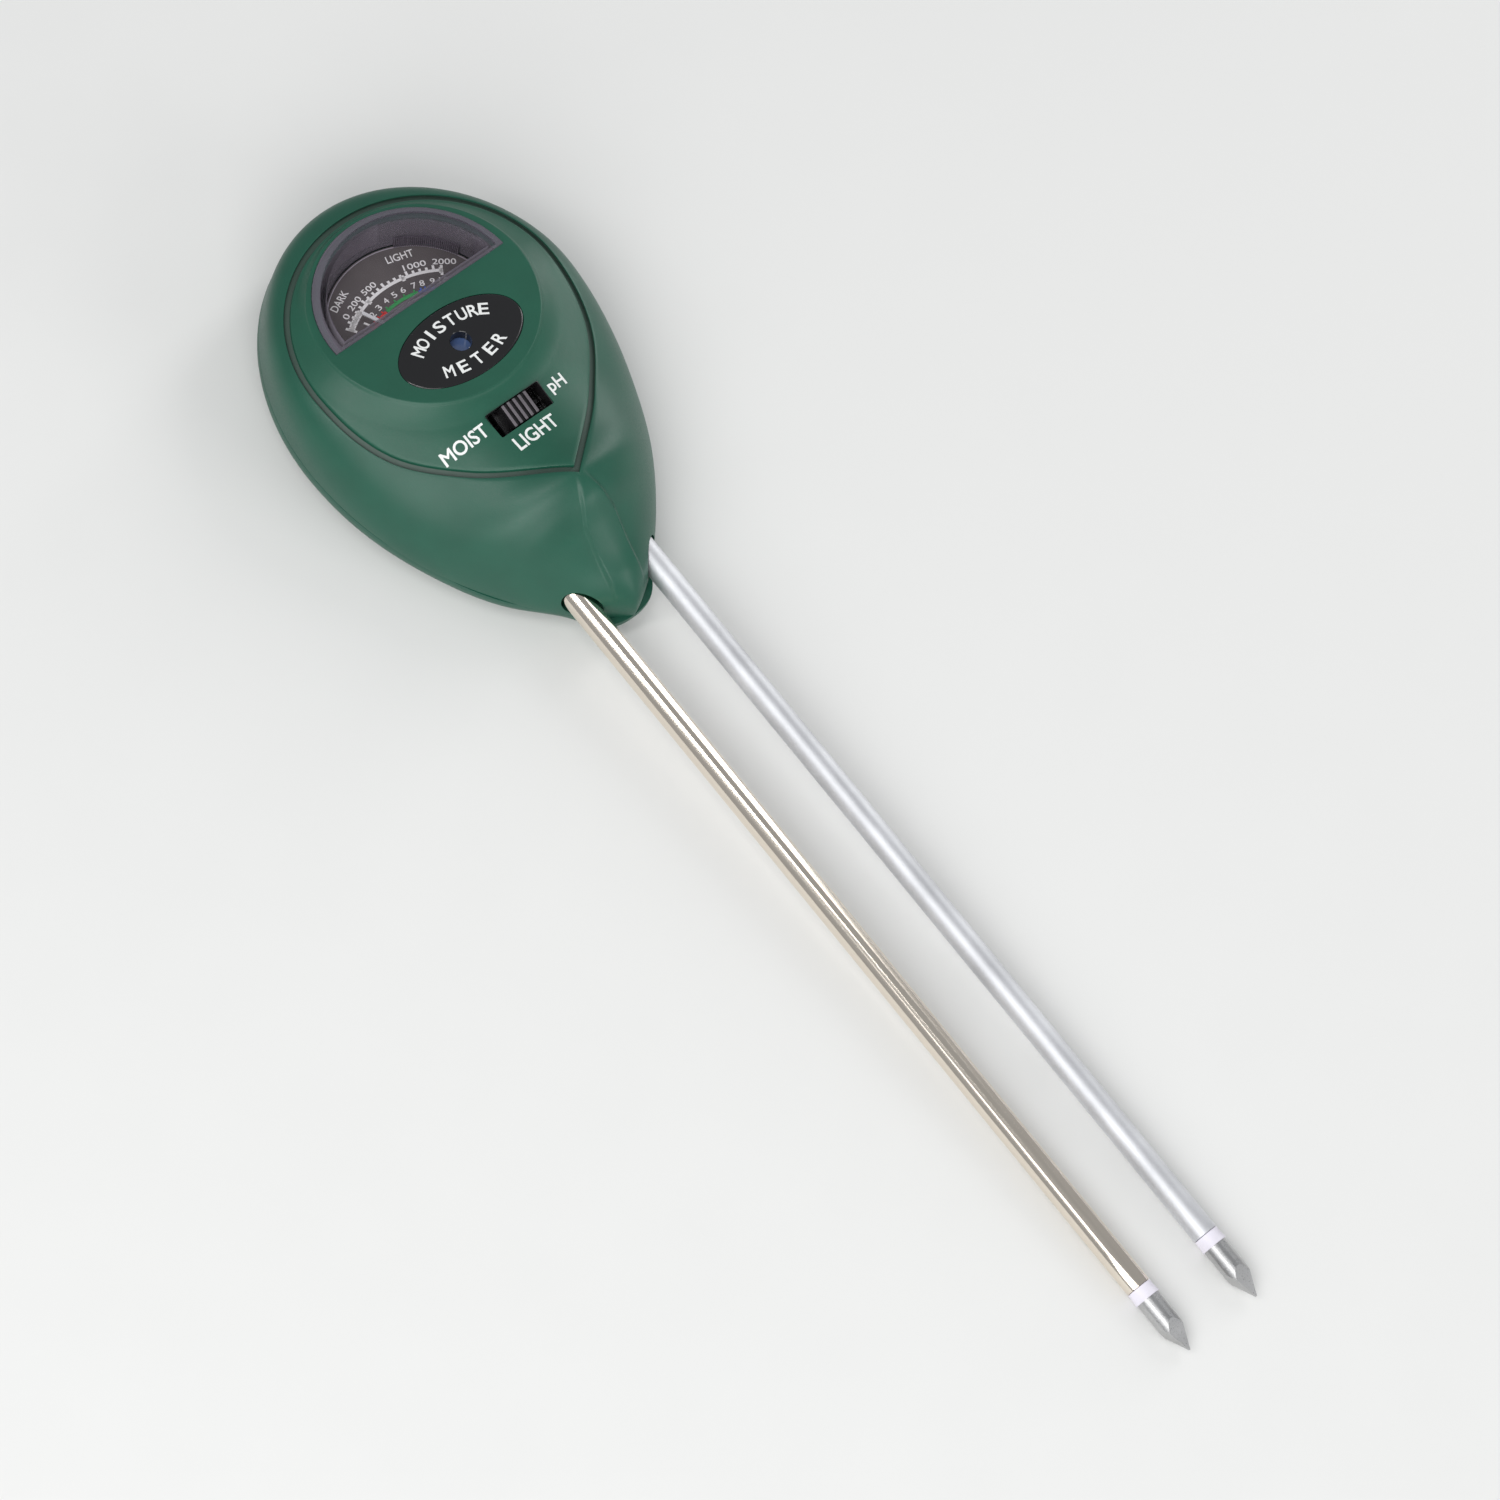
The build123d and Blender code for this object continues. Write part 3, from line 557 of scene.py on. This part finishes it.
def build_panel():
    """Face insert: flat turret, skirt around it, and the teardrop face with a rounded edge."""
    thickness, gap = 2.2, 0.25
    steps, turret_crowding = 40, 1.6
    skirt = 5.0  # the turret blends into the dome over at most this
    corner = [(0.07, 0.07), (0.0, 0.25), (0.0, 1.6)]  # (inset, drop) of the rounded edge
    rim = whole(teardrop(-GROOVE - gap))
    angle = np.arctan2(rim[:, 1], rim[:, 0])
    radii = [3, 6, 9, 12, 15, 17.5, 19.5, 20.7, TURRET_RADIUS - 0.5]
    rings = []
    for r in radii:
        ring = np.column_stack([r * np.cos(angle), r * np.sin(angle) * cos(TURRET_TILT)])
        rings.append(raised(ring, turret_height))
    start = rings[-1][:, :2]
    reach = np.linalg.norm(rim - start, axis=1)
    blend = np.minimum(reach, skirt)
    for i in range(1, steps + 1):
        s = (i / steps) ** turret_crowding
        flat = start + (rim - start) * s
        t = np.clip(s * reach / blend, 0, 1)
        share = (1 - (1 - t) ** 2) * smoothstep(t * 6)
        z = turret_height(flat[:, 0], flat[:, 1]) * (1 - share) + dome(flat[:, 0], flat[:, 1]) * share
        rings.append(np.column_stack([flat, z]))
    for inset, drop in corner:
        rings.append(raised(whole(teardrop(-GROOVE - inset)), dome, drop))
    under = [r - [0, 0, thickness] for r in rings[len(radii) + steps - 1:0:-6]]
    points, faces = loft(rings + under)
    piece = make("face_insert", points, faces, panel)
    play, sensor_play = 0.12, 0.25
    through, over_turret, over_slot = -9, 3, 4  # ends of the cutters under and over a face
    flange_seat, plate_seat, sensor_depth = -1.1, -0.5, -6
    plate = ellipse(LABEL_SIZE[0] + play, LABEL_SIZE[1] + play, y=LABEL_Y)
    sensor = ellipse(SENSOR_RADIUS + sensor_play, SENSOR_RADIUS + sensor_play, 48, LABEL_Y)
    cut(piece, [prism(half_disc(-0.1), flange_seat, over_turret, on_turret),
                prism(half_disc(FLANGE - 0.1), through, over_turret, on_turret),
                prism(plate, plate_seat, over_turret, on_turret),
                prism(sensor, sensor_depth, over_turret, on_turret),
                prism(rounded_box(SLOT_SIZE, 0.3), through, over_slot, on_slot)])
    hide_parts("face_panel")


build_shell()
build_panel()


# ---- Window, label and prints ----
def plane_place(point, place):
    """How far up a leaning plane and how high over it a frame point is, in millimetres."""
    origin, up, normal = (world(place(p))[0] for p in ([0, 0, 0], [0, 1, 0], [0, 0, 1]))
    offset = (np.array(point) - origin) / MM
    return offset @ (up - origin) / MM, offset @ (normal - origin) / MM


def build_window():
    """Clear cup: a flange on the turret, a raised flat top, and a wall down to the dial card."""
    foot, chord_foot = -7.8, -3.3  # lower ends of the round wall and of the straight one

    def wall_foot(inset):
        ring = half_disc(inset)
        z = np.full(len(ring), foot)
        z[WINDOW_STEPS:] = chord_foot
        return on_turret(np.column_stack([ring, z]))

    flange = [(0.05, -0.9), (0.0, -0.8), (0.0, 0.18), (0.14, 0.32), (1.35, 0.34)]  # (inset, height)
    top = [(1.55, 0.5), (1.66, 1.3), (1.8, 1.52), (2.1, 1.6)]
    outside = [flat_at(half_disc(inset), height, on_turret) for inset, height in flange + top]
    inside = [flat_at(half_disc(2.75), 0.55, on_turret), flat_at(half_disc(2.7), 0.2, on_turret),
              wall_foot(2.7), wall_foot(1.65), flat_at(half_disc(1.65), -0.9, on_turret)]
    points, faces = loft(inside + outside)
    piece = make("clear_window", points, faces, [window_clear, window_lip, window_wall],
                 smooth=30)
    flange_low, flange_high, chord_edge = -0.95, 0.45, WINDOW_Y + 0.9
    for face in piece.data.polygons:
        v, h = plane_place(face.center, on_turret)
        if flange_low < h < flange_high:
            face.material_index = 1
        elif h < 0 and v > chord_edge:
            face.material_index = 2
    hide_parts("dial_window")


def build_cup_ribs():
    """Fine ribs that show between the card and the window wall on the right."""
    count, first, step = 34, 24, 1.25  # degrees
    half = 0.11
    corners = [(16.6, -7.75), (17.2, -7.75), (17.2, -5.2), (16.9, -5.2)]  # (radius, height)
    points, faces = [], []
    for i in range(count):
        a = radians(first + i * step)
        for r, h in corners:
            for side in (-half, half):
                points.append((r * cos(a) - side * sin(a), WINDOW_Y + r * sin(a) + side * cos(a), h))
        b = i * 8
        faces += [(b, b + 2, b + 4, b + 6), (b + 1, b + 7, b + 5, b + 3)]
        faces += [(b + k, b + k + 1, b + (k + 3) % 8, b + (k + 2) % 8) for k in (0, 2, 4, 6)]
    make("cup_ribs", on_turret(points), faces, cup_grey)


def strip(centre_line, width, low, high):
    """Flat bar along a line of plane points, as a closed shape in (u, v, h)."""
    line = np.asarray(centre_line, float)
    run = np.gradient(line, axis=0)
    run /= np.linalg.norm(run, axis=1)[:, None]
    side = np.column_stack([-run[:, 1], run[:, 0]]) * width / 2
    rings = []
    for p, s in zip(line, side):
        rings.append(np.array([(*(p - s), low), (*(p + s), low), (*(p + s), high), (*(p - s), high)]))
    return loft(rings)


def arc(radius, start, end, steps=40, y=PIVOT_Y):
    """Points of an arc about the needle's pivot. Angles are degrees from straight up, right positive."""
    a = np.radians(np.linspace(start, end, steps))
    return np.column_stack([radius * np.sin(a), y + radius * np.cos(a)])


def print_bars(name, bars, place, material, low=-0.02, high=0.04):
    """One piece of several flat bars, each (line, width)."""
    points, faces, count = [], [], 0
    for line, width in bars:
        p, f = strip(line, width, low, high)
        points.append(p)
        faces += [tuple(i + count for i in face) for face in f]
        count += len(p)
    make(name, place(np.vstack(points)), faces, material)


def lettering(name, words, place, material, lift=0.03, bold=0.0):
    """Printed words as one thin piece. Each word is (text, x, y, width, cap height, turn in degrees)."""
    points, faces, count = [], [], 0
    for text, x, y, width, height, turn in words:
        curve = bpy.data.curves.new("word", "FONT")
        curve.body, curve.align_x = text, "CENTER"
        curve.extrude, curve.bevel_depth, curve.bevel_resolution, curve.resolution_u = 0.01, bold, 0, 4
        word = bpy.data.objects.new("word", curve)
        bpy.context.scene.collection.objects.link(word)
        bpy.context.view_layer.update()
        graph = bpy.context.evaluated_depsgraph_get()
        mesh = bpy.data.meshes.new_from_object(word.evaluated_get(graph), depsgraph=graph)
        co = np.array([v.co for v in mesh.vertices])
        low, high = co.min(0), co.max(0)
        middle = (low[:2] + high[:2]) / 2
        flat = (co[:, :2] - middle) * [width / (high[0] - low[0]), height / (high[1] - low[1])]
        a = radians(turn)
        turned = flat @ np.array([[cos(a), sin(a)], [-sin(a), cos(a)]]) + [x, y]
        points.append(np.column_stack([turned, np.where(co[:, 2] > 0, lift, -lift)]))
        faces += [tuple(i + count for i in p.vertices) for p in mesh.polygons]
        count += len(co)
        bpy.data.objects.remove(word)
        bpy.data.meshes.remove(mesh)
    make(name, place(np.vstack(points)), faces, material, smooth=20)


def on_face(points):
    """Face points (x, y, lift) on the domed panel."""
    x, y, lift = np.asarray(points, float).T
    return np.column_stack([x, y, dome(x, y) + lift])


def on_card(points):
    return on_turret(np.asarray(points, float) - [0, 0, CARD_DEPTH])


def at(radius, angle):
    """Plane point at an angle about the needle's pivot."""
    return radius * sin(radians(angle)), PIVOT_Y + radius * cos(radians(angle))


def arc_words(texts, radius, angles, width, height, spread=1.0):
    """Words along an arc about the pivot, each turned to follow it. A 1 is narrower than other digits."""
    narrow = 0.45
    return [(t, *at(radius, a), width * (narrow if t == "1" else len(t) ** spread), height, -a)
            for t, a in zip(texts, angles)]


def build_dial():
    """Scales on the card: light arc with ticks, digits, and the coloured bands."""
    scale, scale_end = 19.3, 34  # radius, and degrees to each side
    ticks, tick_end = 17, 30
    bars = [(arc(scale, -scale_end, scale_end, 80), 0.62)]
    for i in range(ticks):
        a = -tick_end + i * 2 * tick_end / (ticks - 1)
        bars.append(([at(19.5, a), at(20.2 if i % 4 else 20.5, a)], 0.5))
    for a in (-34, -31.6, -29.2, -26.8, -24.4, -22, -13, 12, 34):
        bars.append(([at(18.7, a), at(19.9, a)], 0.7))
    for a in (-34.4, 34.4):
        bars.append(([at(18.2, a), at(20.4, a)], 0.5))
    print_bars("light_scale", bars, on_card, dial_white)

    digit_angles = (-27, -19, -12.5, -5.7, 1.3, 7.8, 15.7, 21, 27.8, 35)
    light_angles = {"0": -27.3, "200": -18.4, "500": -6.8, "1000": 20.8, "2000": 36.2}
    digit_height = 1.25
    words = arc_words([str(i) for i in range(1, 11)], 17.1, digit_angles, 0.95, digit_height, 0.9)
    words += arc_words(light_angles, 21.2, light_angles.values(), 1.12, digit_height)
    words += [("DARK", -8.6, 13.2, 5.0, 1.5, 24), ("LIGHT", 6.6, 14.0, 5.4, 1.6, -17)]
    lettering("dial_numbers", words, on_card, dial_white, bold=0.008)

    # A thin light line along the card's edge, drawn in the lighter cup grey: a painted highlight.
    card_edge = arc(16.8, -84, 84, 120, y=WINDOW_Y)
    print_bars("card_edge", [(card_edge, 0.16)], on_card, cup_edge_highlight)
    band, tick_inset = 15.4, 2
    bands = [("acid_band", dial_red, -30, -12), ("neutral_band", dial_green, -11.2, 16),
             ("alkaline_band", dial_blue, 16.8, 30)]
    for name, material, start, end in bands:
        tick_angles = np.linspace(start + tick_inset, end - tick_inset, 4)
        bars = [(arc(band, start, end), 0.7)] + [([at(15.6, a), at(16.2, a)], 0.3) for a in tick_angles]
        print_bars(name, bars, on_card, material)
    print_bars("base_line", [(arc(14.3, -24, 24), 0.16)], on_card, dial_white)


def build_label():
    """Oval plate with a soft edge around the sensor hole, with the kind of meter printed on it."""
    def ring(inset, height):
        flat = ellipse(LABEL_SIZE[0] - inset, LABEL_SIZE[1] - inset, LABEL_STEPS, LABEL_Y)
        return flat_at(flat, height, on_turret)

    def hole(grow, height):
        radius = SENSOR_RADIUS + grow
        return flat_at(ellipse(radius, radius, LABEL_STEPS, LABEL_Y), height, on_turret)

    face, underside, collar_end = 0.1, -0.4, -2.1
    rings = [hole(0.0, collar_end), hole(0.0, 0.0), hole(0.1, face),
             ring(0.35, face), ring(0.12, 0.06), ring(0.0, -0.06), ring(0.0, underside),
             hole(0.2, underside), hole(0.2, collar_end)]
    points, faces = loft(rings, closed=True)
    piece = make("oval_label", points, faces, label_black)
    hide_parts("label_plate")
    sensor_edge = arc(1.75, 125, 235, y=LABEL_Y)
    print_bars("sensor_edge", [(sensor_edge, 0.28)], on_turret, print_white,
               low=-2.24, high=-2.12)

    across, up = 9.7, 4.75  # half axes of the oval that the letters follow
    words = []
    for text, side, first, step in [("MOISTURE", 1, 143, -15.2), ("METER", -1, 232, 19)]:
        for i, letter in enumerate(text):
            a = radians(first + step * i)
            turn = np.degrees(atan2(-side * across * cos(a) * up, side * across * across * sin(a)))
            width = 0.6 if letter == "I" else 1.95
            words.append((letter, across * cos(a), LABEL_Y + up * sin(a), width, 2.5, turn))
    lettering("label_words", words, lambda p: on_turret(np.asarray(p) + [0, 0, face]), print_white,
              bold=0.014)


def build_switch_words():
    """Names of the three switch positions on the face."""
    words = [("MOIST", -12.3, -26.8, 9.8, 2.8, 0), ("LIGHT", -0.6, -32.8, 9.3, 2.9, 0),
             ("pH", 9.3, -27.4, 3.9, 3.3, 0)]
    lettering("switch_words", words, on_face, print_white, bold=0.016)


def build_slot_liner():
    """Thin dark collar inside the switch slot, which ends above the knob's hidden shoulders."""
    rings = []
    for inset, height in [(0.02, -3.5), (0.02, -0.2), (0.22, -0.3), (0.22, -3.5)]:
        rings.append(flat_at(rounded_box([size - inset for size in SLOT_SIZE], 0.25), height, on_slot))
    points, faces = loft(rings, closed=True)
    make("slot_liner", points, faces, black)


def build_knob():
    """Slide knob with five ribs across it, and shoulders that hold it under the face."""
    length, width = KNOB_SIZE
    ribs, pitch = 5, 1.3
    deck, rib_top = -0.15, 0.46
    shoulder, shoulder_top, foot = 3.6, -3.75, -4.6
    neck_foot = -3.7
    profile = [(-length / 2, neck_foot), (-length / 2, deck)]
    for i in range(ribs):
        x = (i - ribs // 2) * pitch
        profile += [(x - 0.42, deck), (x - 0.3, 0.36), (x - 0.2, rib_top), (x + 0.2, rib_top),
                    (x + 0.3, 0.36), (x + 0.42, deck)]
    profile += [(length / 2, deck), (length / 2, neck_foot), (shoulder, shoulder_top), (shoulder, foot),
                (-shoulder, foot), (-shoulder, shoulder_top)]
    soft = 0.12
    sides = [(-width / 2, soft), (-width / 2 + soft, 0.0), (width / 2 - soft, 0.0), (width / 2, soft)]
    rings = []
    for v, shrink in sides:
        rings.append(on_slot([(u * (1 - shrink / length), v, h - (shrink if h > -1 else 0))
                              for u, h in profile]))
    points, faces = loft(rings)
    piece = make("ribbed_knob", points, faces, [black, painted_rib_highlight], body="switch_slider",
                 smooth=30)
    # The rib tops take the light grey, a painted highlight.
    for face in piece.data.polygons:
        if plane_place(face.center, on_slot)[1] > 0.3:
            face.material_index = 1
    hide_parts("switch_knob")


build_window()
build_cup_ribs()
build_dial()
build_label()
build_switch_words()
build_slot_liner()
build_knob()


# ---- Probes ----
def build_probe(name, side, material, node):
    """Round tube with softened ends, from inside the housing to its white ring."""
    low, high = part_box(node)
    start = (np.array(low) - SEAM_ORIGIN) @ AXES.T / MM
    end = (np.array(high) - SEAM_ORIGIN) @ AXES.T / MM
    radius = (high[0] - low[0]) / 2 / MM
    inset, soft = 0.3, 0.25  # of the ends inside the node's box, and of their edges
    y0, y1 = start[1] + inset, end[1] - inset
    profile = [(y0, radius - soft), (y0 + 0.08, radius - 0.08), (y0 + 0.3, radius)]
    profile += [(y, radius) for y in np.linspace(y0 + 8, y1 - 8, 20)]
    profile += [(y1 - 0.3, radius), (y1, radius - soft)]
    points, faces = lathe(profile, (side * PROBE_X, PROBE_HEIGHT))
    piece = make(name, points, faces, material)
    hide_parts(node)


build_probe("nickel_probe", -1, nickel, "left_probe")
build_probe("aluminium_probe", 1, aluminium, "right_probe")
soft_edges = {"insulating_rings": 0.15, "probe_tips": 0.12, "back_cover": 0.2, "cover_screws": 0.1}
for node, width in soft_edges.items():
    bevel = frame["nodes"][node].modifiers.new("soft_edges", "BEVEL")
    bevel.width, bevel.segments, bevel.limit_method = width * MM, 2, "ANGLE"
    bevel.angle_limit = radians(40)
    bevel.harden_normals = False


# ---- Floor, light and camera ----
def build_floor():
    half = 3  # metres
    corners = [(-half, -half, 0), (half, -half, 0), (half, half, 0), (-half, half, 0)]
    mesh = bpy.data.meshes.new("floor")
    mesh.from_pydata(corners, [], [(0, 1, 2, 3)])
    floor = bpy.data.objects.new("floor", mesh)
    bpy.context.scene.collection.objects.link(floor)
    mesh.materials.append(finish("pale_floor", (226, 226, 224), 0.55, grain=20, relief=0.0, vary=0.01))


def soft_light(name, place, size, watts):
    target = (0, 0.03, 0.01)
    data = bpy.data.lights.new(name, "AREA")
    data.shape, data.size, data.size_y, data.energy = "RECTANGLE", size[0], size[1], watts
    light = bpy.data.objects.new(name, data)
    light.location = place
    light.rotation_euler = (Vector(target) - Vector(place)).to_track_quat("-Z", "Y").to_euler()
    bpy.context.scene.collection.objects.link(light)


def build_sky():
    sky = bpy.data.worlds.new("sky")
    bpy.context.scene.world = sky
    sky.use_nodes = True
    background = sky.node_tree.nodes["Background"]
    background.inputs["Color"].default_value = (0.9, 0.92, 0.95, 1)
    background.inputs["Strength"].default_value = 0.42
    bpy.context.scene.view_settings.view_transform = "Standard"


def build_camera():
    """The photograph's viewpoint: over the tips' left side, rolled so that the probes run down right."""
    target = Vector((0.002998, 0.005064, 0))
    distance, elevation, azimuth, roll = 1.22035, radians(64.587), radians(65.383), radians(-27.155)
    view = Vector((sin(azimuth) * cos(elevation), cos(azimuth) * cos(elevation), -sin(elevation)))
    across = view.cross(Vector((0, 0, 1))).normalized()
    top = across.cross(view)
    up = top * cos(roll) + across * sin(roll)
    right = across * cos(roll) - top * sin(roll)
    data = bpy.data.cameras.new("camera")
    data.lens, data.sensor_width = 158.28, 36
    camera = bpy.data.objects.new("camera", data)
    bpy.context.scene.collection.objects.link(camera)
    turn = Matrix([right, up, -view]).transposed().to_4x4()
    camera.matrix_world = Matrix.Translation(target - view * distance) @ turn
    bpy.context.scene.camera = camera


build_camera()
build_floor()
soft_light("key", (-0.8, -0.55, 0.75), (1.0, 1.0), 10)
soft_light("strip", (-0.55, 0.22, 0.95), (0.12, 0.9), 3.5)
soft_light("right", (0.85, 0.2, 0.45), (0.25, 0.9), 2.5)
soft_light("front", (0.35, -1.0, 0.5), (0.6, 0.4), 2.5)
build_sky()
